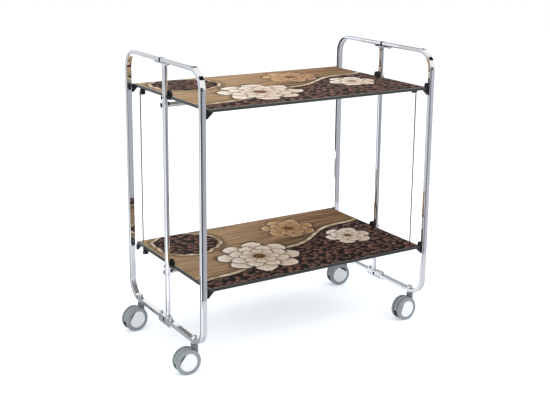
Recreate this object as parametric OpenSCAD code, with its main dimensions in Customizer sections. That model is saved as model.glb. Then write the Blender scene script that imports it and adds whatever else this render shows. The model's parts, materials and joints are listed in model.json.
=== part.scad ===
// Folding serving trolley: two tilting trays between two end frames on twin-wheel casters.
// Millimetres, +Z up, X along the trays, front at -Y, origin on the floor under the middle.

/* [End frames] */
// Half distance between the planes of the two end loops
loop_x = 321; // [300:1:360]
// Half width to the middle of the legs
leg_y = 196; // [190:1:230]
// Height of the middle of the top rails
top_z = 715; // [700:1:760]
// Height of the middle of the bottom rails
bottom_z = 77.5; // [76:0.5:84]
// Width of the rectangular tube, across the loop's plane
tube_w = 15; // [13:0.5:18]
// Thickness of the rectangular tube, in the loop's plane
tube_t = 10; // [8:0.5:12]
// Rounding of the tube's edges
tube_edge_r = 2; // [1.8:0.1:3]
// Wall of the tube
tube_wall = 1.2; // [1:0.1:1.6]
// Bend radius of the loops, to the middle of the tube
bend_r = 44; // [32:1:52]
// Distance of each rail's open end from the middle
rail_end_y = 4; // [2:0.5:6]

/* [Posts and hinge brackets] */
// Diameter of the upright post at each end
post_d = 13; // [10:0.5:14]
// How far the post's middle lies inside the loop's plane
post_inset = 5.6; // [4:0.2:7]
// Radius of the flared foot at both ends of a post
flare_r = 8; // [7.5:0.5:8.5]
// Height of the flare
flare_h = 9; // [6:1:14]
// Length of the hinge plates
plate_len = 68; // [60:1:80]
// Thickness of the hinge plates
plate_t = 3; // [2:0.5:4]
// Distance of each hinge pin from the middle
hinge_y = 26; // [22:1:32]
// Diameter of the hinge pins
hinge_pin_d = 6; // [5:0.5:7]
// Gap between a hinge plate and a rail
plate_gap = 0.3; // [0.2:0.1:0.5]

/* [Trays] */
// Gap between a tray's end and a post
tray_gap = 0.6; // [0.4:0.1:2]
// How far a tray reaches past the middle of the legs
tray_over = 6; // [4:0.5:6.5]
// Radius of a tray's corners
tray_r = 7; // [7:0.5:16]
// Height of the edging
rim_h = 7; // [6:0.5:9]
// Wall of the edging
rim_wall = 2; // [1.8:0.1:2.2]
// Width of the edging's lip over the board
rim_lip = 4; // [3:0.5:4]
// Thickness of the lips over and under the board
lip_t = 1; // [0.8:0.1:1.4]
// Distance of the upper tray's top below the middle of the top rails
upper_drop = 85.5; // [80:0.5:110]
// Height of the lower tray's top
lower_z = 216; // [214:0.5:240]

/* [Tray pivots] */
// Diameter of the pivot pins
pivot_d = 6; // [5:0.5:7]
// Diameter of a pivot pin's head
pivot_head_d = 9; // [8:0.5:11]
// Running clearance of a pivot, in radius
pivot_play = 0.05; // [0.02:0.01:0.1]
// Width of a pivot block
block_w = 19; // [16:1:20]
// Depth of a pivot block, along the tray
block_depth = 7.5; // [6.5:0.5:9]
// Height of a pivot block above the tray
block_rise = 13; // [9:0.5:14]
// Height of a pivot block below the tray
block_foot = 2; // [1.5:0.5:4]

/* [Cross bars] */
// Diameter of the cross bars
bar_d = 12; // [10:0.5:13]
// Distance of a cross bar's middle below the tray's top
bar_drop = 24; // [23:0.5:30]
// Gap between a cross bar and a post
bar_gap = 0.3; // [0.2:0.1:0.5]

/* [Corner clips] */
// Thickness of a corner clip
clip_w = 8; // [6:0.5:10]
// Length of a clip along the tray
clip_len = 17; // [14:1:22]
// Depth of a clip's gusset below the edging
clip_depth = 13.8; // [11:0.1:14]
// Length of the gusset's lower edge
clip_toe = 3; // [2:0.5:6]
// Height of the nib on a front right clip, above the tray
nib_h = 9.5; // [6:0.5:10]
// Length of the nib along the tray
nib_len = 10; // [8:0.5:12]
// Gap between a clip and a leg
clip_gap = 0.5; // [0.3:0.1:0.8]

/* [Link rods] */
// Diameter of the link rods
rod_d = 3.2; // [2.8:0.2:3.4]
// Distance of the rear rod, at the left end, from the middle of the legs
rod_rear_inset = 45; // [41:1:56]
// Distance of the front rod, at the right end, from the middle of the legs
rod_front_inset = 43; // [40:1:56]
// Distance of the rods' pins below the tray's tilt axis
rod_drop = 13; // [11:0.5:14]
// Diameter of the rods' pins
rod_pin_d = 3; // [2.5:0.5:3.5]
// Diameter of the rods' eyes
eye_d = 8; // [7:0.5:9]

/* [Casters] */
// Distance of a caster's stem from the middle of the leg
caster_inset = 47.5; // [46:0.5:48]
// Diameter of the wheels
wheel_d = 62; // [56:1:62]
// Width over both wheels of a caster
caster_w = 31; // [28:1:34]
// Width of the hood between the wheels
hood_w = 10; // [9:0.5:12]
// Distance from the swivel axis back to the axle
trail = 20; // [16:1:24]
// Fillet of a wheel's outer edge
wheel_fillet = 4; // [2:0.5:4.5]
// Fillet of a wheel's inner edge, beside the hood
wheel_inner_r = 2.5; // [1:0.5:3]
// Rounding of the hood's edges
hood_edge_r = 1.5; // [1:0.5:3]
// Diameter of the hub cap
cap_d = 44; // [38:1:47]
// Diameter of the axle
axle_d = 6; // [5:0.5:8]
// Diameter of the caster's stem
stem_d = 7; // [6:0.5:7.5]
// Diameter of the hood's boss round the stem
boss_d = 17; // [15:0.5:18]
// Diameter of the domed nut on the rail
nut_d = 15; // [12:0.5:17]
// Rest angle of the front left caster, from trailing along -X
swivel_front_left = -3; // [-5:1:5]
// Rest angle of the rear left caster
swivel_rear_left = 8; // [-20:1:20]
// Rest angle of the front right caster
swivel_front_right = 3; // [2:1:30]
// Rest angle of the rear right caster
swivel_rear_right = -6; // [-20:1:20]

/* [Hidden] */
$fn = 48;

fit = 0.1;
chrome = "gainsboro";
black = "#222222";
grey = "slategray";

// Faces of the rails and of the plates on them
rail_under = top_z - tube_t / 2;
foot_top = bottom_z + tube_t / 2;
foot_under = bottom_z - tube_t / 2;
top_plate_z = rail_under - plate_gap - plate_t;
bottom_plate_z = foot_top + plate_gap;
lower_plate_top = foot_under - plate_gap;
channel_skirt = 3;
channel_wall = 1.5;
channel_h = plate_t + channel_skirt;
post_x = loop_x - post_inset;
post_low = bottom_plate_z + plate_t;
inner_x = loop_x - tube_w / 2;
ear_r = flare_r;
flare_rim = 1;
flare_neck = 0.8;
plug_len = 13;
plug_gap = 1.6;
plug_step = 1;
plug_head = rail_end_y - plug_gap / 2;
pin_head_t = 2;
pin_head_d = hinge_pin_d + 3;
pin_dome_h = 6;

// Trays, measured from the tilt axis in the middle of the edging
tray_x = post_x - post_d / 2 - tray_gap;
tray_y = leg_y + tray_over;
upper_z = top_z - upper_drop;
upper_axis_z = upper_z - rim_h / 2;
lower_axis_z = lower_z - rim_h / 2;
board_top = rim_h / 2 - lip_t;
board_bottom = lip_t - rim_h / 2;
edge_w = rim_wall + rim_lip;
field_gap = 0.3;
field_inset = edge_w + field_gap;
field_r = max(tray_r - field_inset, fit);
pivot_bore_d = pivot_d + 2 * pivot_play;
pivot_head_t = 2.5;
bore_floor = 1;
pin_tip_gap = 0.5;

// Cross bars and their screws
bar_y = post_d / 2 + bar_gap + bar_d / 2;
bar_past_post = 4;
bar_half = post_x + bar_past_post;
screw_d = 4;
screw_head_d = 8;
screw_head_t = 2.2;
saddle_len = 8;
saddle_t = 1.5;

// Link rods
rod_rear_y = leg_y - rod_rear_inset;
rod_front_y = leg_y - rod_front_inset;
lug_gap = 0.4;
eye_t = rod_d - 2 * fit;
eye_x = tray_x + lug_gap;
eye_mid = eye_x + eye_t / 2;
rod_head_t = 0.8;
rod_head_rim = 1.25;
rod_head_d = rod_pin_d + 2 * rod_head_rim;
rod_bore_d = rod_pin_d + 2 * fit;
lug_w = 10;
lug_len = 10;

// Gap between a clip and the edging that it grips
clip_seat = 0.05;

// Casters
caster_y = leg_y - caster_inset;
wheel_r = wheel_d / 2;
wheel_gap = 0.25;
wheel_in = hood_w / 2 + wheel_gap;
wheel_w = caster_w / 2 - wheel_in;
arch_gap = 0.8;
hood_r = wheel_r - arch_gap;
hub_r = 10;
hood_rear = 4;
hood_front = 5;
cap_depth = 4.5;
cap_sink = 1.2;
cap_t = cap_depth - cap_sink;
cap_lip = 2;
cap_dish = 0.6;
cap_seat = wheel_w - cap_depth;
cap_chord = 0.74 * cap_d / 2;
chord_left = 142;
chord_front_right = 159;
chord_rear_right = 57;
flange_t = 2;
flange_d = 14;
boss_top = foot_under - flange_t - plate_gap;
boss_lift = 12;
stem_lift = 17;
boss_low = wheel_r + boss_lift;
stem_low = wheel_r + stem_lift;
nut_h = 3.5;
nut_lift = 0.3;
nut_z = foot_top + nut_lift;
nut_step = 1;
dome_r = nut_d / 2 - nut_step;
dome_h = 0.75 * dome_r;

// Middle of the parts' reach along X, so that the origin lies under it
function reach(angle) = (wheel_r - wheel_fillet) * cos(angle)
    + (caster_w / 2 - wheel_fillet) * abs(sin(angle)) + wheel_fillet;
function caster_left(angle) = loop_x + trail * cos(angle) + reach(angle);
function caster_right(angle) = loop_x - trail * cos(angle) + reach(angle);
reach_left = max(caster_left(swivel_front_left), caster_left(swivel_rear_left));
reach_right = max(caster_right(swivel_front_right), caster_right(swivel_rear_right));
shift_x = (reach_left - reach_right) / 2;

// Places a piece at the left (-1) or right (1) end: local X points outward from the loop's plane
module at_end(x) {
    translate([shift_x, 0, 0]) mirror([x < 0 ? 1 : 0, 0, 0]) translate([loop_x, 0, 0]) children();
}

// Places a piece in a tray's frame, whose origin is on the tilt axis
module at_tray(z) {
    translate([shift_x, 0, z]) children();
}

module front_and_rear() {
    for (y = [0, 1]) mirror([0, y, 0]) children();
}

// Rectangle of half lengths x and y with corners of radius r
module rounded_plate(x, y, r) {
    square([2 * x, 2 * (y - r)], center = true);
    square([2 * (x - r), 2 * y], center = true);
    for (a = [-1, 1], b = [-1, 1]) translate([a * (x - r), b * (y - r)]) circle(r = r);
}

// Section of the tube: thickness along X, width along Y
module tube_section(inset = 0) {
    rounded_plate(tube_t / 2 - inset, tube_w / 2 - inset, max(tube_edge_r - inset, fit));
}

// Straight run along u at height v, in the loop's own plane
module run(u, v, length, inset = 0) {
    translate([u, v, 0]) rotate([90, 0, 90]) linear_extrude(length) tube_section(inset);
}

module bend(u, v, turn, inset = 0) {
    translate([u, v, 0]) rotate([0, 0, turn]) rotate_extrude(angle = 90)
        translate([bend_r, 0]) tube_section(inset);
}

// The loop's path in its own plane: u outward, v up, the tube's width along w
module loop_path(inset = 0, past_end = 0) {
    bend_u = leg_y - bend_r;
    for (v = [top_z, bottom_z])
        run(rail_end_y - past_end, v, bend_u - rail_end_y + past_end, inset);
    translate([leg_y, bottom_z + bend_r, 0]) rotate([-90, 0, 0])
        linear_extrude(top_z - bottom_z - 2 * bend_r) tube_section(inset);
    bend(bend_u, top_z - bend_r, 0, inset);
    bend(bend_u, bottom_z + bend_r, -90, inset);
}

// Rear half of an end loop, drilled for its hinge pins and the caster's stem
module half_frame() {
    hinge_hole_d = hinge_pin_d + fit;
    difference() {
        rotate([90, 0, 90]) difference() {
            loop_path();
            loop_path(tube_wall, 1);
        }
        translate([0, hinge_y, rail_under - 1]) cylinder(d = hinge_hole_d, h = tube_t / 2);
        translate([0, hinge_y, bottom_z]) cylinder(d = hinge_hole_d, h = 2 * tube_t, center = true);
        translate([0, caster_y, bottom_z]) cylinder(d = stem_d + fit, h = 2 * tube_t, center = true);
    }
}

module half_frame_at(x, y) {
    color(chrome) at_end(x) mirror([0, y < 0 ? 1 : 0, 0]) half_frame();
}

// Plugs in the open rail ends, each with a stepped dome
module end_plugs(x) {
    color(black) at_end(x) front_and_rear() rotate([90, 0, 90]) for (v = [top_z, bottom_z]) {
        run(rail_end_y, v, plug_len, tube_wall + fit);
        run(rail_end_y - plug_head / 2, v, plug_head / 2);
        run(rail_end_y - plug_head, v, plug_head / 2, plug_step);
    }
}

// Upright post with a flare at both ends, drilled for the tilt pins and the cross bars' screws
module post(x) {
    low = [[0, post_low], [flare_r, post_low], [flare_r, post_low + flare_rim],
        [post_d / 2 + flare_neck, post_low + flare_h / 3], [post_d / 2, post_low + flare_h]];
    high = [for (p = low) [p[0], top_plate_z + post_low - p[1]]];
    outline = concat(low, [for (i = [len(high) - 1:-1:0]) high[i]]);
    color(chrome) at_end(x) translate([-post_inset, 0, 0]) difference() {
        rotate_extrude() polygon(outline);
        for (z = [upper_axis_z, lower_axis_z]) translate([0, 0, z]) rotate([0, 90, 0])
            cylinder(d = pivot_d + fit, h = 2 * post_d, center = true);
        for (z = [upper_z, lower_z]) translate([0, 0, z - bar_drop]) rotate([90, 0, 0])
            cylinder(d = screw_d + fit, h = 2 * post_d, center = true);
    }
}

module plate_outline(inset = 0) {
    width = tube_w - 2 * inset;
    square([width, plate_len - tube_w], center = true);
    for (s = [-1, 1]) translate([0, s * (plate_len - tube_w) / 2]) circle(d = width);
}

module hinge_holes() {
    for (s = [-1, 1]) translate([0, s * hinge_y]) circle(d = hinge_pin_d + fit);
}

// Hinge plate with an ear that carries the post
module bracket(x, z) {
    color(chrome) at_end(x) translate([0, 0, z]) linear_extrude(plate_t) difference() {
        union() {
            plate_outline();
            translate([-post_inset, 0]) circle(r = ear_r);
        }
        hinge_holes();
    }
}

// Channel under the bottom rails, with its rim turned down
module lower_plate(x) {
    color(chrome) at_end(x) translate([0, 0, lower_plate_top - channel_h]) {
        translate([0, 0, channel_h - plate_t]) linear_extrude(plate_t) difference() {
            plate_outline();
            hinge_holes();
        }
        linear_extrude(channel_h - plate_t) difference() {
            plate_outline();
            plate_outline(channel_wall);
        }
    }
}

module hinge_pins() {
    top_pin_high = top_z + tube_t / 2 - tube_wall - plate_gap;
    pin_foot = lower_plate_top - plate_t - pin_head_t;
    color(chrome) for (x = [-1, 1]) at_end(x) for (s = [-1, 1]) translate([0, s * hinge_y, 0]) {
        translate([0, 0, top_plate_z - pin_head_t]) cylinder(d = pin_head_d, h = pin_head_t);
        translate([0, 0, top_plate_z]) cylinder(d = hinge_pin_d, h = top_pin_high - top_plate_z);
        translate([0, 0, pin_foot]) cylinder(d = pin_head_d, h = pin_head_t);
        translate([0, 0, pin_foot]) cylinder(d = hinge_pin_d, h = post_low - pin_foot);
        translate([0, 0, post_low]) rotate_extrude() dome_profile(pin_head_d / 2, pin_dome_h);
    }
}

// Half profile of a domed head of radius r and height h
module dome_profile(r, h) {
    intersection() {
        square([r, h]);
        union() {
            square([r, h - r / 2]);
            translate([0, h - r]) circle(r = r);
        }
    }
}

// Pins on which the trays tilt, each with a head outside the post
module tilt_pins() {
    head_x = post_d / 2 - post_inset + fit;
    tip_x = tray_x - loop_x - block_depth + bore_floor + pin_tip_gap;
    color(chrome) for (x = [-1, 1], z = [upper_axis_z, lower_axis_z]) at_end(x)
        translate([0, 0, z]) rotate([0, 90, 0]) {
            translate([0, 0, tip_x]) cylinder(d = pivot_d, h = head_x - tip_x);
            translate([0, 0, head_x]) cylinder(d = pivot_head_d, h = pivot_head_t);
        }
}

// Round bar behind the posts, drilled where the posts' screws pass
module cross_bar(z) {
    color(chrome) translate([shift_x, bar_y, z - bar_drop]) difference() {
        rotate([0, 90, 0]) cylinder(d = bar_d, h = 2 * bar_half, center = true);
        for (s = [-1, 1]) translate([s * post_x, 0, 0]) rotate([90, 0, 0])
            cylinder(d = screw_d + fit, h = 2 * bar_d, center = true);
    }
}

module cross_bar_screws() {
    tip = bar_y + bar_d / 2;
    color(chrome) for (x = [-1, 1], z = [upper_z, lower_z]) at_end(x)
        translate([-post_inset, -post_d / 2 - fit, z - bar_drop]) rotate([-90, 0, 0]) {
            cylinder(d = screw_d, h = tip + post_d / 2 + fit);
            translate([0, 0, -screw_head_t]) cylinder(d = screw_head_d, h = screw_head_t);
        }
}

// Half shells that grip the bars beside the posts
module bar_saddles() {
    start = -post_inset - post_d / 2 - bar_gap;
    color(black) for (x = [-1, 1], z = [upper_z, lower_z]) at_end(x)
        translate([start - saddle_len, bar_y, z - bar_drop]) rotate([0, 90, 0])
            linear_extrude(saddle_len) difference() {
                circle(d = bar_d + fit + 2 * saddle_t);
                circle(d = bar_d + fit);
                translate([0, -bar_d]) square(2 * bar_d);
            }
}

// Board outline cut back by inset, with room for the pivot blocks
module board_outline(inset, r, gap) {
    notch = [2 * (block_depth + gap), block_w + 2 * gap];
    difference() {
        rounded_plate(tray_x - inset, tray_y - inset, r);
        for (s = [-1, 1]) translate([s * tray_x, 0]) square(notch, center = true);
    }
}

// Board of a tray, whose printed field rises to the top of the edging
module panel(z) {
    color("saddlebrown") at_tray(z) {
        translate([0, 0, board_bottom]) linear_extrude(board_top - board_bottom)
            board_outline(rim_wall + fit, tray_r - rim_wall - fit, fit);
        translate([0, 0, board_top]) linear_extrude(lip_t)
            board_outline(field_inset, field_r, field_gap);
    }
}

// Section of the edging: X inward from a rounded outer side, with a groove for the board
module edge_section() {
    difference() {
        union() {
            intersection() {
                translate([rim_h / 2, 0]) circle(d = rim_h);
                translate([0, -rim_h / 2]) square([rim_h / 2, rim_h]);
            }
            translate([rim_h / 2, -rim_h / 2]) square([edge_w - rim_h / 2, rim_h]);
        }
        translate([rim_wall, board_bottom]) square([edge_w, board_top - board_bottom]);
    }
}

// Edging that wraps the board's rim, in two lengths that meet at the pivot blocks
module edging(z) {
    long = tray_x - tray_r;
    short = tray_y - tray_r;
    notch = [2 * (block_depth + fit), block_w + 2 * fit, 2 * rim_h];
    color(chrome) at_tray(z) difference() {
        union() {
            front_and_rear() translate([-long, -tray_y, 0]) rotate([90, 0, 90])
                linear_extrude(2 * long) edge_section();
            for (a = [0, 1]) mirror([a, 0, 0]) {
                translate([-tray_x, short, 0]) rotate([90, 0, 0]) linear_extrude(2 * short) edge_section();
                front_and_rear() translate([long, short, 0]) rotate_extrude(angle = 90)
                    translate([tray_r, 0]) mirror([1, 0]) edge_section();
            }
        }
        for (s = [-1, 1]) translate([s * tray_x, 0, 0]) cube(notch, center = true);
    }
}

// Half-round blocks at the trays' ends, with a blind bore for the tilt pin
module pivot_blocks(z) {
    round_z = rim_h / 2 + block_rise - block_w / 2;
    low_z = -rim_h / 2 - block_foot;
    color(black) at_tray(z) for (s = [0, 1]) mirror([s, 0, 0])
        translate([tray_x - block_depth, 0, 0]) difference() {
            rotate([90, 0, 90]) linear_extrude(block_depth) {
                translate([0, round_z]) circle(d = block_w);
                translate([-block_w / 2, low_z]) square([block_w, round_z - low_z]);
            }
            translate([bore_floor, 0, 0]) rotate([0, 90, 0]) cylinder(d = pivot_bore_d, h = block_depth);
        }
}

// Gusset of a clip in the XZ plane, ending at outer
module gusset(outer) {
    high = -rim_h / 2 - clip_seat;
    low = high - clip_depth;
    polygon([[outer - clip_len, high], [outer, high], [outer, low], [outer - clip_toe, low]]);
}

// Nib in the XZ plane that stands on the edging, rounded at the top
module nib(outer) {
    nib_r = nib_len / 2;
    translate([outer - nib_len, rim_h / 2 + clip_seat]) {
        square([nib_len, nib_h - nib_r]);
        translate([nib_r, 0]) square([nib_len - nib_r, nib_h]);
        translate([nib_r, nib_h - nib_r]) circle(r = nib_r);
    }
}

module corner_clip(outer, with_nib) {
    web_x = tray_x + fit;
    web_h = rim_h + 2 * clip_seat;
    translate([0, leg_y + clip_w / 2, 0]) rotate([90, 0, 0]) linear_extrude(clip_w) {
        gusset(outer);
        if (outer > web_x) translate([web_x, -web_h / 2]) square([outer - web_x, web_h]);
        if (with_nib) nib(outer);
    }
}

// The clip beside the rear rod keeps inside the tray's end, so that the rod passes it when the tray tilts
module corner_clips(z, rod_passes) {
    reach_x = inner_x - clip_gap;
    color(black) at_tray(z) for (a = [0, 1], b = [0, 1]) mirror([a, 0, 0]) mirror([0, b, 0])
        corner_clip(rod_passes && a == 1 && b == 0 ? tray_x : reach_x, a == 0 && b == 1);
}

// Places a piece at the left rear or right front rod
module at_rods(z) {
    at_tray(z) {
        translate([0, -rod_front_y, 0]) children();
        mirror([1, 0, 0]) translate([0, rod_rear_y, 0]) children();
    }
}

// Lugs under the trays' ends that hold the rods' pins
module rod_lugs(z) {
    color(black) at_rods(z) translate([tray_x - lug_len, 0, 0]) rotate([90, 0, 90])
        linear_extrude(lug_len) difference() {
            union() {
                translate([-lug_w / 2, -rod_drop]) square([lug_w, rod_drop - rim_h / 2]);
                translate([0, -rod_drop]) circle(d = lug_w);
            }
            translate([0, -rod_drop]) circle(d = rod_pin_d + fit);
        }
}

module rod_pins(z) {
    head_x = eye_x + eye_t + fit;
    color(chrome) at_rods(z) translate([0, 0, -rod_drop]) rotate([0, 90, 0]) {
        translate([0, 0, tray_x - lug_len]) cylinder(d = rod_pin_d, h = head_x - tray_x + lug_len);
        translate([0, 0, head_x]) cylinder(d = rod_head_d, h = rod_head_t);
    }
}

// Link rod between the trays' lugs, with an eye at both ends
module link_rod(x, y) {
    low = lower_axis_z - rod_drop;
    high = upper_axis_z - rod_drop;
    color(chrome) translate([shift_x + x * eye_mid, y, 0]) difference() {
        union() {
            translate([0, 0, low]) cylinder(d = rod_d, h = high - low);
            for (z = [low, high]) translate([0, 0, z]) rotate([0, 90, 0])
                cylinder(d = eye_d, h = eye_t, center = true);
        }
        for (z = [low, high]) translate([0, 0, z]) rotate([0, 90, 0])
            cylinder(d = rod_bore_d, h = 2 * eye_d, center = true);
    }
}

// Places a piece at a caster's swivel axis, turned to its rest angle
module at_caster(x, y, angle) {
    translate([shift_x + x * loop_x, y * caster_y, 0]) rotate([0, 0, angle]) children();
}

module at_axle() {
    translate([-trail, 0, wheel_r]) rotate([-90, 0, 0]) children();
}

// Half profile of the disc that the hood is cut from
module hood_profile() {
    flat_r = hood_r - hood_edge_r;
    flat_w = hood_w - 2 * hood_edge_r;
    translate([0, -hood_w / 2]) square([flat_r, hood_w]);
    translate([0, -flat_w / 2]) square([hood_r, flat_w]);
    for (s = [-1, 1]) translate([flat_r, s * flat_w / 2]) circle(r = hood_edge_r);
}

// Hood over the axle, open below, with a hub round the axle
module hood() {
    far = 2 * wheel_r;
    translate([-trail, 0, wheel_r]) rotate([90, 0, 0]) {
        cylinder(r = hub_r, h = hood_w, center = true);
        intersection() {
            rotate_extrude() hood_profile();
            linear_extrude(hood_w, center = true)
                polygon([[0, 0], [far * cos(hood_front), -far * sin(hood_front)], [far, far], [-far, far],
                    [-far * cos(hood_rear), -far * sin(hood_rear)]]);
        }
    }
}

// Hood between the wheels, with a boss round the stem
module housing(x, y, angle) {
    color(grey) at_caster(x, y, angle) difference() {
        union() {
            hood();
            difference() {
                translate([0, 0, boss_low]) cylinder(d = boss_d, h = boss_top - boss_low);
                for (s = [0, 1]) mirror([0, s, 0]) at_axle() translate([0, 0, hood_w / 2])
                    cylinder(r = wheel_r + arch_gap, h = boss_d);
            }
        }
        translate([0, 0, stem_low - plate_gap]) cylinder(d = stem_d + fit, h = boss_top);
        at_axle() cylinder(d = axle_d + fit, h = 2 * hood_w, center = true);
    }
}

module axle(x, y, angle) {
    half = wheel_in + cap_seat - plate_gap;
    color(chrome) at_caster(x, y, angle) at_axle() cylinder(d = axle_d, h = 2 * half, center = true);
}

// Half profile of a wheel, from its inner side at 0 to its outer side
module wheel_profile() {
    edge = wheel_inner_r;
    bore_r = axle_d / 2 + pivot_play;
    difference() {
        union() {
            square([wheel_r - wheel_fillet, wheel_w]);
            translate([0, edge]) square([wheel_r, wheel_w - wheel_fillet - edge]);
            translate([wheel_r - wheel_fillet, wheel_w - wheel_fillet]) circle(r = wheel_fillet);
            square([wheel_r - edge, edge]);
            translate([wheel_r - edge, edge]) circle(r = edge);
        }
        square([bore_r, 3 * wheel_w], center = false);
        translate([0, cap_seat]) square([cap_d / 2 + 2 * fit, wheel_w]);
    }
}

module wheel(x, y, angle, side) {
    color("dimgray") at_caster(x, y, angle) mirror([0, side, 0]) at_axle()
        translate([0, 0, wheel_in]) rotate_extrude() wheel_profile();
}

// Hub cap sunk in the wheel's outer side, cut off along a chord that shows the wheel behind it
module cap(x, y, angle, side) {
    r = cap_d / 2;
    turn = x < 0 ? chord_left : y < 0 ? chord_front_right : chord_rear_right;
    color("white") at_caster(x, y, angle) mirror([0, side, 0]) at_axle()
        translate([0, 0, wheel_in + cap_seat]) difference() {
            rotate_extrude() polygon([[0, 0], [r, 0], [r, cap_t - 2 * fit], [r - 2 * fit, cap_t],
                [r - cap_lip, cap_t], [r - 2 * cap_lip, cap_t - cap_dish], [0, cap_t - cap_dish]]);
            rotate([0, 0, -turn]) translate([cap_chord, -r, -cap_t]) cube([r, 2 * r, 3 * cap_t]);
        }
}

module caster_stems() {
    color(chrome) for (x = [-1, 1], y = [-1, 1]) at_caster(x, y, 0) {
        translate([0, 0, stem_low]) cylinder(d = stem_d, h = nut_z + nut_h - stem_low);
        translate([0, 0, foot_under - flange_t]) cylinder(d = flange_d, h = flange_t);
    }
}

// Domed nuts that close the stems on the bottom rails
module caster_nuts() {
    color(chrome) for (x = [-1, 1], y = [-1, 1]) at_caster(x, y, 0) translate([0, 0, nut_z])
        difference() {
            union() {
                cylinder(d = nut_d, h = nut_h);
                translate([0, 0, nut_h]) rotate_extrude() dome_profile(dome_r, dome_h);
            }
            cylinder(d = stem_d + fit, h = nut_h + fit);
        }
}

half_frame_at(-1, 1);  // half_frame_rear_left
half_frame_at(-1, -1);  // half_frame_front_left
half_frame_at(1, 1);  // half_frame_rear_right
half_frame_at(1, -1);  // half_frame_front_right
end_plugs(-1);  // end_plugs_left
end_plugs(1);  // end_plugs_right
post(-1);  // post_left
post(1);  // post_right
bracket(-1, top_plate_z);  // top_bracket_left
bracket(1, top_plate_z);  // top_bracket_right
bracket(-1, bottom_plate_z);  // bottom_bracket_left
bracket(1, bottom_plate_z);  // bottom_bracket_right
lower_plate(-1);  // lower_plate_left
lower_plate(1);  // lower_plate_right
hinge_pins();
tilt_pins();
cross_bar(upper_z);  // cross_bar_upper
cross_bar(lower_z);  // cross_bar_lower
cross_bar_screws();
bar_saddles();
caster_stems();
caster_nuts();
panel(upper_axis_z);  // upper_panel
edging(upper_axis_z);  // upper_edging
pivot_blocks(upper_axis_z);  // upper_pivot_blocks
corner_clips(upper_axis_z, false);  // upper_corner_clips
rod_lugs(upper_axis_z);  // upper_rod_lugs
rod_pins(upper_axis_z);  // upper_rod_pins
panel(lower_axis_z);  // lower_panel
edging(lower_axis_z);  // lower_edging
pivot_blocks(lower_axis_z);  // lower_pivot_blocks
corner_clips(lower_axis_z, true);  // lower_corner_clips
rod_lugs(lower_axis_z);  // lower_rod_lugs
rod_pins(lower_axis_z);  // lower_rod_pins
link_rod(-1, rod_rear_y);  // link_rod_left
link_rod(1, -rod_front_y);  // link_rod_right
housing(-1, -1, swivel_front_left);  // housing_front_left
axle(-1, -1, swivel_front_left);  // axle_front_left
wheel(-1, -1, swivel_front_left, 0);  // wheel_front_left_a
wheel(-1, -1, swivel_front_left, 1);  // wheel_front_left_b
cap(-1, -1, swivel_front_left, 0);  // cap_front_left_a
cap(-1, -1, swivel_front_left, 1);  // cap_front_left_b
housing(-1, 1, swivel_rear_left);  // housing_rear_left
axle(-1, 1, swivel_rear_left);  // axle_rear_left
wheel(-1, 1, swivel_rear_left, 0);  // wheel_rear_left_a
wheel(-1, 1, swivel_rear_left, 1);  // wheel_rear_left_b
cap(-1, 1, swivel_rear_left, 0);  // cap_rear_left_a
cap(-1, 1, swivel_rear_left, 1);  // cap_rear_left_b
housing(1, -1, swivel_front_right);  // housing_front_right
axle(1, -1, swivel_front_right);  // axle_front_right
wheel(1, -1, swivel_front_right, 0);  // wheel_front_right_a
wheel(1, -1, swivel_front_right, 1);  // wheel_front_right_b
cap(1, -1, swivel_front_right, 0);  // cap_front_right_a
cap(1, -1, swivel_front_right, 1);  // cap_front_right_b
housing(1, 1, swivel_rear_right);  // housing_rear_right
axle(1, 1, swivel_rear_right);  // axle_rear_right
wheel(1, 1, swivel_rear_right, 0);  // wheel_rear_right_a
wheel(1, 1, swivel_rear_right, 1);  // wheel_rear_right_b
cap(1, 1, swivel_rear_right, 0);  // cap_rear_right_a
cap(1, 1, swivel_rear_right, 1);  // cap_rear_right_b
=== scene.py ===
"""Looks of a folding serving trolley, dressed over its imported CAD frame."""

import json
import math

import bmesh
import bpy
from mathutils import Matrix, Vector


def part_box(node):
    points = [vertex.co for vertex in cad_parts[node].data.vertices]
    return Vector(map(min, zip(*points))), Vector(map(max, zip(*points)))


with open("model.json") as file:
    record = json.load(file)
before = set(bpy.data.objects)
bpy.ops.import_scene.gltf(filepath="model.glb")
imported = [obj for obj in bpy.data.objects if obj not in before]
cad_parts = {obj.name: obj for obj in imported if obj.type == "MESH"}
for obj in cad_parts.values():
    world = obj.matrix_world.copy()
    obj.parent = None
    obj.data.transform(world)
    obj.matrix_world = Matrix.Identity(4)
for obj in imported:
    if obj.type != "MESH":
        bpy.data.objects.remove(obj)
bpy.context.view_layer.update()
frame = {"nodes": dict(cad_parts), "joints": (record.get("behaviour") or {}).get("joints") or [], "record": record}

bl_info = {
    "name": "Serving Trolley Looks",
    "version": (1, 0, 0),
    "blender": (4, 5, 0),
    "location": "View3D > Sidebar > Trolley",
    "description": "Finishes a folding serving trolley: chrome tube, printed boards, moulded clips and casters",
    "category": "Object",
}

MM = 0.001
NODES = frame["nodes"]
SLOTS = {part["node"]: part["material_slot"] for part in frame["record"]["subparts"]}
LINK_RODS = ("link_rod_left", "link_rod_right")
BOARDS = ("upper_panel", "lower_panel")
EDGINGS = ("upper_edging", "lower_edging")
# the rolling joints' names are roll_CORNER_a and roll_CORNER_b, and both share one axle
AXLES = {joint["name"][5:-2]: joint for joint in frame["joints"] if joint["name"].startswith("roll_")}
BOARD_MIDDLE_MM = sum(corner[0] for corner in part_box("upper_panel")) / 2 / MM

# the casters, in millimetres from the axle or along it: where painted shade darkens the hub cap's seat and the
# grooves, and where the hood's roof turns dark slate grey
CAP_SEAT_SHADE = (22.3, 22.0)
HOOD_ROOF = (31.0, 31.4)
HOOD_GROOVE_SHADE = (3.4, 5.0)
TREAD_GROOVE_SHADE = (7.2, 5.3)

# the printed design, in millimetres from the middle of the board
PATCH_MIDDLE = (-205, 118)
PATCH_RADIUS = 84
PATCH_HEM = 9
BED_HEM = 13
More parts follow.
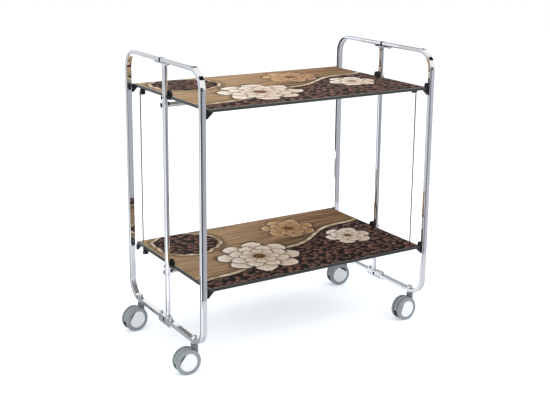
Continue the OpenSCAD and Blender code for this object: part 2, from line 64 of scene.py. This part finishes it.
# the shades of a petal's root and of its veins
PALE_PETALS = ("#8d6d4e", "#b3977b")
WARM_PETALS = ("#55301b", "#8a5a36")
# each blossom's middle, share of the largest one's radius, petals, turn in radians, colour property and shades
BLOSSOMS = (
    ((-92, -58), 1.0, 8, 0.3, "petal", PALE_PETALS),
    ((92, 96), 0.7, 7, 0.9, "petal_warm", WARM_PETALS),
    ((196, -34), 0.6, 6, 0.1, "petal", PALE_PETALS),
)

FLOOR_LIFT = 0.38
WORLD_LIGHT = 0.8
# name, place, size and power in watts
LAMPS = (
    ("key", (1.2, -2.2, 2.4), 1.6, 30),
    ("fill", (-2.2, -1.4, 1.8), 1.6, 20),
    ("top", (0.3, 0.4, 2.8), 1.8, 20),
)
LAMP_TARGET = (0, 0, 0.35)

# studio flags that stand from one floor point to another: name, tone, start, end, lowest and highest height
STANDING_FLAGS = (
    ("rear_left", "#26292c", (-0.62, 0.48), (-0.62, 1.00), 0, 0.56),
    ("rear_far", "#3a3e42", (-0.62, 1.00), (-0.62, 1.80), 0, 0.521),
    ("left_side", "#dcdee2", (-0.62, -0.12), (-0.62, 0.48), 0, 0.66),
    ("front_left", "#d3d6d9", (-1.30, -0.62), (-0.48, -0.62), 0, 0.72),
    ("front_middle", "#1c1d20", (-0.48, -0.62), (-0.084, -0.62), 0, 0.74),
    ("front_right", "#b4b6bd", (-0.084, -0.62), (0.50, -0.62), 0, 0.66),
    ("front_line", "#2c2e33", (0.50, -0.62), (0.7005, -0.62), 0, 0.74),
    ("front_far", "#c9cbd2", (0.7005, -0.62), (1.20, -0.62), 0, 0.66),
    ("right_side", "#b9bcc0", (0.80, -0.55), (0.80, 0.60), 0, 0.66),
    ("rear_side_left", "#d9dbdf", (-1.25, 0.75), (-0.33, 0.75), 0, 0.66),
    ("rear_side_right", "#b4b7bb", (0.36, 0.75), (1.25, 0.75), 0, 0.66),
    ("left_far", "#b4b7bd", (-3.2, -1.6), (-3.2, 1.6), 0, 2.4),
    ("right_far", "#b4b7bd", (3.2, -1.6), (3.2, 1.6), 0, 2.4),
    ("rear_high", "#64686e", (-3.0, 2.6), (4.0, 2.6), 1.75, 3.4),
)
# studio flags that lie level: name, tone, left, right, near, far and height
LEVEL_FLAGS = (
    ("floor_left", "#a9adb2", -0.62, -0.345, -0.12, 1.40, 0.002),
    ("floor_front", "#e1e1e7", -0.30, 1.20, -0.62, -0.24, 0.002),
    ("floor_bend_left", "#d2d3dc", -0.345, 0.05, -0.24, -0.1, 0.002),
    ("floor_bend_right", "#d8d9e0", 0.30, 0.62, -0.24, -0.1, 0.002),
    ("overhead_front", "#17181a", 0.05, 1.50, -1.05, -0.52, 1.6),
)

# the photograph's viewpoint, solved from the trolley's own edges: metres, degrees and pixels
CAMERA_PLACE = (-1.2884, -2.0762, 1.0397)
CAMERA_YAW, CAMERA_PITCH, CAMERA_ROLL = 31.97, -12.98, 0.56
CAMERA_FOCAL_PX = 998.3
CAMERA_SHIFT_PX = -60.0
PHOTO_WIDTH_PX = 550
SENSOR_MM = 36


def linear(code):
    """Turns an sRGB hex colour into the linear values that Blender's nodes take."""
    channels = [int(code[i : i + 2], 16) / 255 for i in (1, 3, 5)]
    return tuple(c / 12.92 if c <= 0.04045 else ((c + 0.055) / 1.055) ** 2.4 for c in channels) + (1.0,)


def fill(socket, value):
    """Gives a socket a number, a vector, a colour (hex or property) or a link from another node."""
    if isinstance(value, bpy.types.NodeSocket):
        socket.id_data.links.new(value, socket)
    elif socket.type == "RGBA":
        socket.default_value = linear(value) if isinstance(value, str) else (*value[:3], 1.0)
    else:
        socket.default_value = value


def add(tree, kind, *values, **named):
    """Adds a node with its settings and links, and returns the first output that it shows.

    Plain values fill the inputs in the order in which the editor shows them. Names in lower case are the node's
    own settings. Names with a capital are inputs, with _ for a space.
    """
    made = tree.nodes.new("ShaderNode" + kind)
    for name, value in named.items():
        if name[0].islower():
            setattr(made, name, value)
    for socket, value in zip([s for s in made.inputs if s.enabled], values):
        fill(socket, value)
    for name, value in named.items():
        if name[0].isupper():
            fill(made.inputs[name.replace("_", " ")], value)
    return next(s for s in made.outputs if s.enabled)


def new_material(name, **values):
    """A material with constant values on its shader's own sockets, whose names have _ for a space."""
    material = bpy.data.materials.new(name)
    material.use_nodes = True
    shader = material.node_tree.nodes["Principled BSDF"]
    for key, value in values.items():
        fill(shader.inputs[key.replace("_", " ")], value)
    return material, material.node_tree, shader


def object_point(tree, scale_mm):
    """Object coordinates, counted in lengths of the given millimetres."""
    place = add(tree, "TexCoord").node.outputs["Object"]
    return add(tree, "Mapping", place, Scale=[1 / (scale_mm * MM)] * 3)


def tint(tree, under, over, measure, start, end, least=0.0, most=1.0):
    """One colour laid over another, whose strength runs from least to most as the measure runs from start to end."""
    strength = add(tree, "MapRange", measure, start, end, least, most)
    return add(tree, "Mix", strength, under, over, data_type="RGBA")


def metal_material(name, colour, roughness):
    """Chromium plate over polished tube, or drawn wire.

    The plate mirrors the studio sharply and the wire only softly. A faint haze, in patches of about 40 mm as a
    buffing wheel leaves them, makes the mirror images a little softer here and there.
    """
    material, tree, shader = new_material(name, Base_Color=colour, Metallic=1.0)
    haze = add(tree, "TexNoise", object_point(tree, 40), Scale=1.0, Detail=3.0)
    fill(shader.inputs["Roughness"], add(tree, "MapRange", haze, 0.3, 0.7, roughness * 0.7, roughness * 1.4))
    return material


def edging_material(name, colour):
    """Extruded glossy PVC.

    The edging is dark, but its flat top lip mirrors the room at a low angle, and die lines about 1 mm apart break
    the reflection.
    """
    material, tree, shader = new_material(name, Base_Color=colour, IOR=1.54)
    lines = add(tree, "TexNoise", object_point(tree, 1.2), Scale=1.0, Detail=2.0)
    fill(shader.inputs["Roughness"], add(tree, "MapRange", lines, 0.3, 0.7, 0.15, 0.28))
    return material


def moulded_material(name, colour, roughness):
    """Injection-moulded plastic.

    Its highlights are broad and soft, because the mould's spark-eroded grain breaks them. The real grain is
    about 0.1 mm and is drawn at 0.5 mm, so that it shows.
    """
    material, tree, shader = new_material(name, Base_Color=colour, Roughness=roughness)
    grain = add(tree, "TexNoise", object_point(tree, 0.5), Scale=1.0, Detail=2.0)
    fill(shader.inputs["Normal"], add(tree, "Bump", Height=grain, Distance=0.05 * MM, Strength=0.4))
    return material


def caster_material(name, colour, roughness, axle, groove):
    """Moulded plastic of a caster.

    It is the same grey all over, with painted shade that turns it near black in the groove between hood and
    wheel, whose darkest end is given last, and in the hub cap's seat. On the hood's roof over the treads it is a
    dark slate grey.
    """
    material = moulded_material(name, colour, roughness)
    tree = material.node_tree
    place = add(tree, "TexCoord").node.outputs["Object"]
    away = add(tree, "VectorMath", place, axle["pos_m"], operation="SUBTRACT")
    along = add(tree, "VectorMath", away, axle["axis"], operation="DOT_PRODUCT")
    along = add(tree, "Math", along, 1 / MM, operation="MULTIPLY")
    along = add(tree, "Math", along, operation="ABSOLUTE")
    radius = add(tree, "VectorMath", away, axle["axis"], operation="CROSS_PRODUCT")
    radius = add(tree, "VectorMath", radius, operation="LENGTH")
    radius = add(tree, "Math", radius, 1 / MM, operation="MULTIPLY")
    # painted shade: near black in the groove between hood and wheel, where shade falls
    shade = tint(tree, colour, "#101214", along, *groove, 0.0, 0.9)
    # dark slate grey on the hood's roof, beyond 31 mm from the axle
    shade = tint(tree, shade, "#6a7276", radius, *HOOD_ROOF)
    # painted shade: near black in the hub cap's seat, the recess under the cap
    shade = tint(tree, shade, "#1b1d1f", radius, *CAP_SEAT_SHADE)
    fill(tree.nodes["Principled BSDF"].inputs["Base Color"], shade)
    return material


def rosette(tree, u, v, middle, size, petals, depth, turn=0.0):
    """Millimetres outside a petalled rim (negative within it), distance from its middle, and angle round it."""
    x = add(tree, "Math", u, middle[0], operation="SUBTRACT")
    y = add(tree, "Math", v, middle[1], operation="SUBTRACT")
    radius = add(tree, "VectorMath", add(tree, "CombineXYZ", x, y), operation="LENGTH")
    angle = add(tree, "Math", add(tree, "Math", y, x, operation="ARCTAN2"), turn, operation="ADD")
    wave = add(tree, "Math", angle, petals / 2, operation="MULTIPLY")
    wave = add(tree, "Math", wave, operation="COSINE")
    wave = add(tree, "Math", wave, operation="ABSOLUTE")
    wave = add(tree, "Math", wave, 0.55, operation="POWER")
    rim = add(tree, "Math", wave, size * depth, size * (1 - depth), operation="MULTIPLY_ADD")
    ragged = add(tree, "TexNoise", object_point(tree, size / 4), Scale=1.0, Detail=3.0)
    ragged = add(tree, "MapRange", ragged, 0.25, 0.75, -0.07 * size, 0.07 * size)
    rim = add(tree, "Math", rim, ragged, operation="ADD")
    return add(tree, "Math", radius, rim, operation="SUBTRACT"), radius, angle


def petal_streaks(tree, radius, angle, petals, size):
    """Fine veins that run out along each petal."""
    across = add(tree, "Math", angle, petals * 1.6, operation="MULTIPLY")
    along = add(tree, "Math", radius, 0.9 / size, operation="MULTIPLY")
    vein = add(tree, "CombineXYZ", across, along)
    return add(tree, "TexNoise", vein, Scale=2.2, Detail=4.0, Roughness=0.6, noise_dimensions="2D")


def print_blossom(tree, under, u, v, middle, size, petals, turn, petal_colour, shades):
    """Three rings of petals, each lit from the rear left and shaded at its folds, round a seeded disc.

    The shades are those of a petal's root and of its veins.
    """
    root, vein = shades
    x = add(tree, "Math", u, middle[0], operation="SUBTRACT")
    y = add(tree, "Math", v, middle[1], operation="SUBTRACT")
    lit = add(tree, "Math", y, x, operation="SUBTRACT")
    for share, shift in ((1.0, 0.0), (0.72, 0.5), (0.46, 0.1)):
        ring = share * size
        outside, radius, angle = rosette(tree, u, v, middle, ring, petals, 0.34, turn + shift * math.tau / petals)
        # the soft dark shadow that the ring throws on what lies under it
        under = tint(tree, under, "#1a110c", outside, 0.0, 0.17 * ring, 0.8, 0.0)
        petal = tint(tree, root, petal_colour, radius, 0.22 * ring, 0.98 * ring)
        petal = tint(tree, petal, vein, lit, -1.3 * size, 1.1 * size, 0.55, 0.0)
        petal = tint(tree, petal, vein, petal_streaks(tree, radius, angle, petals, ring), 0.42, 0.75, 0.0, 0.5)
        # each petal is a shallow dish: its middle fold and its sides are darker than the ridges between
        across = add(tree, "Math", angle, petals / math.tau, operation="MULTIPLY")
        across = add(tree, "Math", across, 0.5, operation="PINGPONG")
        petal = tint(tree, petal, root, across, 0.0, 0.05, 0.3, 0.0)
        petal = tint(tree, petal, root, across, 0.36, 0.5, 0.0, 0.75)
        petal = tint(tree, petal, "#fffaf2", outside, -0.05 * ring, 0.0, 0.0, 0.35)
        under = tint(tree, under, petal, outside, -0.7, 0.5, 1.0, 0.0)
    seeds = add(tree, "TexVoronoi", object_point(tree, 3.6), Scale=1.0, voronoi_dimensions="2D")
    disc = tint(tree, "#a9783f", "#24150c", seeds, 0.1, 0.45)
    disc = tint(tree, disc, "#1c110a", radius, 0.08 * size, 0.15 * size, 0.0, 0.7)
    return tint(tree, under, disc, radius, 0.15 * size - 1, 0.15 * size + 1, 1.0, 0.0)


def print_cloth(tree, under, outside, wide):
    """A hem of cream linen as wide as the given millimetres, with its weave, its roundness and its shadow."""
    under = tint(tree, under, "#1f150e", outside, wide, wide + 16, 0.7, 0.0)
    folds = add(tree, "TexNoise", object_point(tree, 22), Scale=1.0, Detail=3.0)
    weave = add(tree, "TexNoise", object_point(tree, 1.1), Scale=1.0, Detail=1.0)
    cloth = tint(tree, "#a98f6c", "#e4d6bd", folds, 0.38, 0.62)
    cloth = tint(tree, cloth, "#7d6648", weave, 0.4, 0.65, 0.0, 0.3)
    cloth = tint(tree, cloth, "#6c563c", outside, 0.55 * wide, wide, 0.0, 0.6)
    cloth = tint(tree, cloth, "#5b4631", outside, 0.0, 0.3 * wide, 0.5, 0.0)
    return tint(tree, under, cloth, outside, wide - 0.6, wide + 0.6, 1.0, 0.0)


def print_cobbles(tree, under, outside, cobble_mm, light):
    """A bed of dark glazed cobbles of the given length, each with its own tone and glint."""
    place = add(tree, "TexCoord").node.outputs["Object"]
    grid = (1 / (cobble_mm * MM), 1.4 / (cobble_mm * MM), 0)
    stretched = add(tree, "Mapping", place, Rotation=(0, 0, 0.4), Scale=grid)
    cells = add(tree, "TexVoronoi", stretched, Scale=1.0, voronoi_dimensions="2D").node.outputs
    own = add(tree, "SeparateXYZ", cells["Color"])
    stone = add(tree, "Mix", own, "#2b1a16", light, data_type="RGBA")
    glint = add(tree, "VectorMath", stretched, cells["Position"], operation="SUBTRACT")
    glint = add(tree, "VectorMath", glint, (0.1, -0.16, 0), operation="ADD")
    glint = add(tree, "VectorMath", glint, operation="LENGTH")
    stone = tint(tree, stone, "#a98a78", glint, 0.04, 0.26, 0.6, 0.0)
    stone = tint(tree, stone, "#0e0806", cells["Distance"], 0.36, 0.56)
    return tint(tree, under, stone, outside, -0.8, 0.8, 1.0, 0.0)


def print_planks(tree, u, v, plank_mm, light):
    """Weathered planks, lit from the rear left corner."""
    place = add(tree, "TexCoord").node.outputs["Object"]
    # the grain's streaks are about 120 mm long and 7 mm wide
    streaks = add(tree, "Mapping", place, Scale=(1 / (120 * MM), 1 / (7 * MM), 0))
    grain = add(tree, "TexNoise", streaks, Scale=1.0, Detail=5.0, Distortion=0.4, noise_dimensions="2D")
    wood = tint(tree, "#4a3221", light, grain, 0.3, 0.7)
    lit = add(tree, "Math", v, 1.1, operation="MULTIPLY")
    lit = add(tree, "Math", lit, u, operation="SUBTRACT")
    wood = tint(tree, wood, "#cdb28c", lit, -60, 520, 0.0, 0.55)
    wood = tint(tree, wood, "#3a281b", lit, -480, 60, 0.6, 0.0)
    seam = add(tree, "Math", v, plank_mm / 2, operation="PINGPONG")
    return tint(tree, wood, "#21160f", seam, 0.3, 1.6, 0.7, 0.0)


def board_material(name, look):
    """Laminated board, printed with blossoms and cobbles on planks under a dull clear film.

    The film takes the shine off the print, so its colours stay rich from every side. Its faint orange peel, about
    3 mm from crest to crest, breaks what sheen is left.
    """
    material, tree, shader = new_material(name, Specular_IOR_Level=0.08)
    split = add(tree, "SeparateXYZ", add(tree, "TexCoord").node.outputs["Object"]).node.outputs
    u = add(tree, "Math", split[0], 1 / MM, -BOARD_MIDDLE_MM, operation="MULTIPLY_ADD")
    v = add(tree, "Math", split[1], 1 / MM, operation="MULTIPLY")
    drawn = print_planks(tree, u, v, look.plank / MM, look.wood)
    # the bed of cobbles fills the front right corner behind a wavy rim, and a round patch at the rear left
    swell = add(tree, "Math", add(tree, "Math", u, 1 / 38, operation="MULTIPLY"), operation="SINE")
    swell = add(tree, "Math", swell, 14, operation="MULTIPLY")
    slope = add(tree, "Math", u, -0.42, 42, operation="MULTIPLY_ADD")
    bed = add(tree, "Math", add(tree, "Math", v, swell, operation="ADD"), slope, operation="ADD")
    patch, _, _ = rosette(tree, u, v, PATCH_MIDDLE, PATCH_RADIUS, 3, 0.12)
    for outside, hem in ((bed, BED_HEM), (patch, PATCH_HEM)):
        drawn = print_cloth(tree, drawn, outside, hem)
        drawn = print_cobbles(tree, drawn, outside, look.cobble / MM, look.stone)
        # the hem's shadow falls on the cobbles beside it
        beside = add(tree, "Math", add(tree, "Math", outside, 4, operation="ADD"), operation="ABSOLUTE")
        drawn = tint(tree, drawn, "#120a07", beside, 0.0, 6.0, 0.75, 0.0)
    for middle, share, petals, turn, petal, shades in BLOSSOMS:
        size = share * look.blossom / MM
        drawn = print_blossom(tree, drawn, u, v, middle, size, petals, turn, getattr(look, petal), shades)
    # the underside is a plain grey backing sheet, told by the board's own normal, which tilts with the tray
    normal = add(tree, "TexCoord").node.outputs["Normal"]
    below = add(tree, "Math", add(tree, "SeparateXYZ", normal).node.outputs[2], -0.5, operation="LESS_THAN")
    fill(shader.inputs["Base Color"], add(tree, "Mix", below, drawn, "#8f8b87", data_type="RGBA"))
    peel = add(tree, "TexNoise", object_point(tree, 3), Scale=1.0, Detail=1.0)
    fill(shader.inputs["Roughness"], add(tree, "MapRange", peel, 0.3, 0.7, 0.54, 0.66))
    return material


def paint(material, names):
    """Gives the named CAD nodes one material."""
    for name in names:
        slots = NODES[name].data.materials
        slots.clear()
        slots.append(material)


def flat_sheet(name, corners, material):
    """A single flat face of the studio, which isn't part of the trolley."""
    shape = bmesh.new()
    shape.faces.new([shape.verts.new(corner) for corner in corners])
    mesh = bpy.data.meshes.new(name)
    shape.to_mesh(mesh)
    shape.free()
    mesh.materials.append(material)
    made = bpy.data.objects.new(name, mesh)
    bpy.context.scene.collection.objects.link(made)
    return made


def seen_as_background(tree):
    """1 for the rays that see the plain background: from the camera, off metal and through glass."""
    path = add(tree, "LightPath").node.outputs
    seen = add(tree, "Math", path["Is Camera Ray"], path["Is Glossy Ray"], operation="MAXIMUM")
    return add(tree, "Math", seen, path["Is Transmission Ray"], operation="MAXIMUM")


def build_floor(half):
    """White paper floor, lifted to white where it is seen, which keeps the trolley's soft contact shadows."""
    material, tree, shader = new_material(
        "studio_paper_white", Base_Color="#ffffff", Roughness=0.9, Specular_IOR_Level=0.0, Emission_Color="#e4f1ff"
    )
    lift = add(tree, "Math", seen_as_background(tree), FLOOR_LIFT, operation="MULTIPLY")
    fill(shader.inputs["Emission Strength"], lift)
    flat_sheet("floor", ((-half, -half, 0), (half, -half, 0), (half, half, 0), (-half, half, 0)), material)


def build_flag(name, tone, corners):
    """A flat sheet of plain tone that only the metal's mirror images show."""
    material, _, _ = new_material(
        f"flag_{name}",
        Base_Color="#000000",
        Roughness=1.0,
        Specular_IOR_Level=0.0,
        Emission_Color=tone,
        Emission_Strength=1.0,
    )
    made = flat_sheet(f"flag_{name}", corners, material)
    made.visible_camera = made.visible_diffuse = made.visible_shadow = False
    made.visible_transmission = made.visible_volume_scatter = False


def build_flags():
    """The flags round the trolley, without which white light alone would wash the chrome out."""
    for name, tone, start, end, low, high in STANDING_FLAGS:
        build_flag(name, tone, ((*start, low), (*end, low), (*end, high), (*start, high)))
    for name, tone, left, right, near, far, high in LEVEL_FLAGS:
        build_flag(name, tone, ((left, near, high), (right, near, high), (right, far, high), (left, far, high)))


def build_lamps():
    """Soft even light from above and both sides, with a white surround."""
    scene = bpy.context.scene
    scene.world = bpy.data.worlds.new("studio_white")
    scene.world.use_nodes = True
    tree = scene.world.node_tree
    surround = tree.nodes["Background"]
    fill(surround.inputs["Color"], "#ffffff")
    strength = add(tree, "MapRange", seen_as_background(tree), 0.0, 1.0, WORLD_LIGHT, 1.0)
    fill(surround.inputs["Strength"], strength)
    for name, place, size, power in LAMPS:
        lamp = bpy.data.lights.new(name, "AREA")
        lamp.size = size
        lamp.energy = power
        made = bpy.data.objects.new(name, lamp)
        made.location = place
        made.rotation_euler = (Vector(LAMP_TARGET) - Vector(place)).to_track_quat("-Z", "Y").to_euler()
        made.visible_glossy = False
        scene.collection.objects.link(made)


def build_camera():
    """The photograph's viewpoint."""
    camera = bpy.data.cameras.new("camera")
    camera.sensor_width = SENSOR_MM
    camera.lens = CAMERA_FOCAL_PX / PHOTO_WIDTH_PX * SENSOR_MM
    camera.shift_y = CAMERA_SHIFT_PX / PHOTO_WIDTH_PX
    yaw, pitch, roll = (math.radians(angle) for angle in (CAMERA_YAW, CAMERA_PITCH, CAMERA_ROLL))
    ahead = Vector((math.sin(yaw) * math.cos(pitch), math.cos(yaw) * math.cos(pitch), math.sin(pitch)))
    right = Vector((math.cos(yaw), -math.sin(yaw), 0))
    up = right.cross(ahead)
    right, up = right * math.cos(roll) + up * math.sin(roll), up * math.cos(roll) - right * math.sin(roll)
    made = bpy.data.objects.new("camera", camera)
    made.matrix_world = Matrix.Translation(CAMERA_PLACE) @ Matrix((right, up, -ahead)).transposed().to_4x4()
    scene = bpy.context.scene
    scene.collection.objects.link(made)
    scene.camera = made
    scene.view_settings.view_transform = "Standard"


def colour(name, description, code):
    """A colour that a user may change, with its default as a hex code."""
    return bpy.props.FloatVectorProperty(
        name=name, description=description, default=linear(code)[:3], min=0.0, max=1.0, subtype="COLOR"
    )


def length(name, description, size_mm):
    """A length that a user may change, with its default in millimetres."""
    return bpy.props.FloatProperty(name=name, description=description, default=size_mm * MM, min=MM, unit="LENGTH")


class TrolleyLook(bpy.types.PropertyGroup):
    """Sizes and colours that a user would change"""

    plate: colour("Chrome", "Colour of the chromium plate on tubes, bars and fasteners", "#eceef0")
    wire: colour("Link rods", "Colour of the drawn steel link rods", "#8b8e91")
    clip: colour("Clips and blocks", "Colour of the black moulded pieces", "#070809")
    hood: colour("Hoods", "Colour of the casters' hoods", "#9aa2a6")
    tread: colour("Wheels", "Colour of the wheels and their treads", "#8b9397")
    cap: colour("Hub caps", "Colour of the hub caps", "#e8eef3")
    edging: colour("Edging", "Colour of the trays' edging", "#2b2d29")
    wood: colour("Printed planks", "Light tone of the printed planks", "#a5805a")
    stone: colour("Printed cobbles", "Light tone of the printed cobbles", "#6a4538")
    petal: colour("Pale petals", "Colour of the two pale blossoms", "#efe6da")
    petal_warm: colour("Warm petals", "Colour of the warm blossom", "#d3ad7d")
    blossom: length("Blossom radius", "Radius of the largest printed blossom", 104.0)
    cobble: length("Cobble length", "Length of a printed cobble", 17.0)
    plank: length("Plank width", "Width of a printed plank", 66.0)
    floor: length("Floor half width", "Half width of the stage's floor", 6000.0)


class TROLLEY_OT_metal(bpy.types.Operator):
    """Finish the chromed tubes, bars, rods and fasteners"""

    bl_idname = "trolley.metal"
    bl_label = "Metal"

    def execute(self, context):
        look = context.scene.trolley_look
        bright = [name for name in NODES if SLOTS[name] in ("chrome", "steel") and name not in LINK_RODS]
        paint(metal_material("chromium_plate_polished", look.plate, 0.04), bright)
        paint(metal_material("steel_wire_drawn", look.wire, 0.3), LINK_RODS)
        return {"FINISHED"}


class TROLLEY_OT_plastic(bpy.types.Operator):
    """Finish the moulded clips and blocks"""

    bl_idname = "trolley.plastic"
    bl_label = "Clips and blocks"

    def execute(self, context):
        nylon = moulded_material("nylon_black_moulded", context.scene.trolley_look.clip, 0.45)
        paint(nylon, [name for name in NODES if SLOTS[name] == "black_plastic"])
        return {"FINISHED"}


class TROLLEY_OT_casters(bpy.types.Operator):
    """Finish the casters' hoods, wheels and hub caps"""

    bl_idname = "trolley.casters"
    bl_label = "Casters"

    def execute(self, context):
        look = context.scene.trolley_look
        for corner, axle in AXLES.items():
            hood = caster_material(f"nylon_grey_moulded_{corner}", look.hood, 0.5, axle, HOOD_GROOVE_SHADE)
            paint(hood, [f"housing_{corner}"])
            tread = caster_material(f"polyurethane_grey_tread_{corner}", look.tread, 0.55, axle, TREAD_GROOVE_SHADE)
            paint(tread, [f"wheel_{corner}_a", f"wheel_{corner}_b"])
        paint(moulded_material("abs_white_satin", look.cap, 0.35), [n for n in NODES if SLOTS[n] == "white_cap"])
        return {"FINISHED"}


class TROLLEY_OT_boards(bpy.types.Operator):
    """Print the two tray boards and finish their edging"""

    bl_idname = "trolley.boards"
    bl_label = "Boards and edging"

    def execute(self, context):
        look = context.scene.trolley_look
        paint(board_material("laminate_printed_dull", look), BOARDS)
        paint(edging_material("pvc_edging_glossy", look.edging), EDGINGS)
        return {"FINISHED"}


class TROLLEY_OT_stage(bpy.types.Operator):
    """Set the floor, the flags, the lamps and the camera"""

    bl_idname = "trolley.stage"
    bl_label = "Stage"

    def execute(self, context):
        build_floor(context.scene.trolley_look.floor)
        build_flags()
        build_lamps()
        build_camera()
        return {"FINISHED"}


class TROLLEY_PT_panel(bpy.types.Panel):
    """Buttons for each group of pieces, and the sizes and colours"""

    bl_idname = "TROLLEY_PT_panel"
    bl_label = "Serving trolley"
    bl_space_type = "VIEW_3D"
    bl_region_type = "UI"
    bl_category = "Trolley"

    def draw(self, context):
        for operator in OPERATORS:
            self.layout.operator(operator.bl_idname)
        for name in TrolleyLook.__annotations__:
            self.layout.prop(context.scene.trolley_look, name)


OPERATORS = (TROLLEY_OT_metal, TROLLEY_OT_plastic, TROLLEY_OT_casters, TROLLEY_OT_boards, TROLLEY_OT_stage)
CLASSES = (TrolleyLook, *OPERATORS, TROLLEY_PT_panel)


def register():
    for made in CLASSES:
        bpy.utils.register_class(made)
    bpy.types.Scene.trolley_look = bpy.props.PointerProperty(type=TrolleyLook)


def unregister():
    del bpy.types.Scene.trolley_look
    for made in reversed(CLASSES):
        bpy.utils.unregister_class(made)


def main():
    register()
    bpy.ops.trolley.metal()
    bpy.ops.trolley.plastic()
    bpy.ops.trolley.casters()
    bpy.ops.trolley.boards()
    bpy.ops.trolley.stage()


if __name__ == "__main__":
    main()
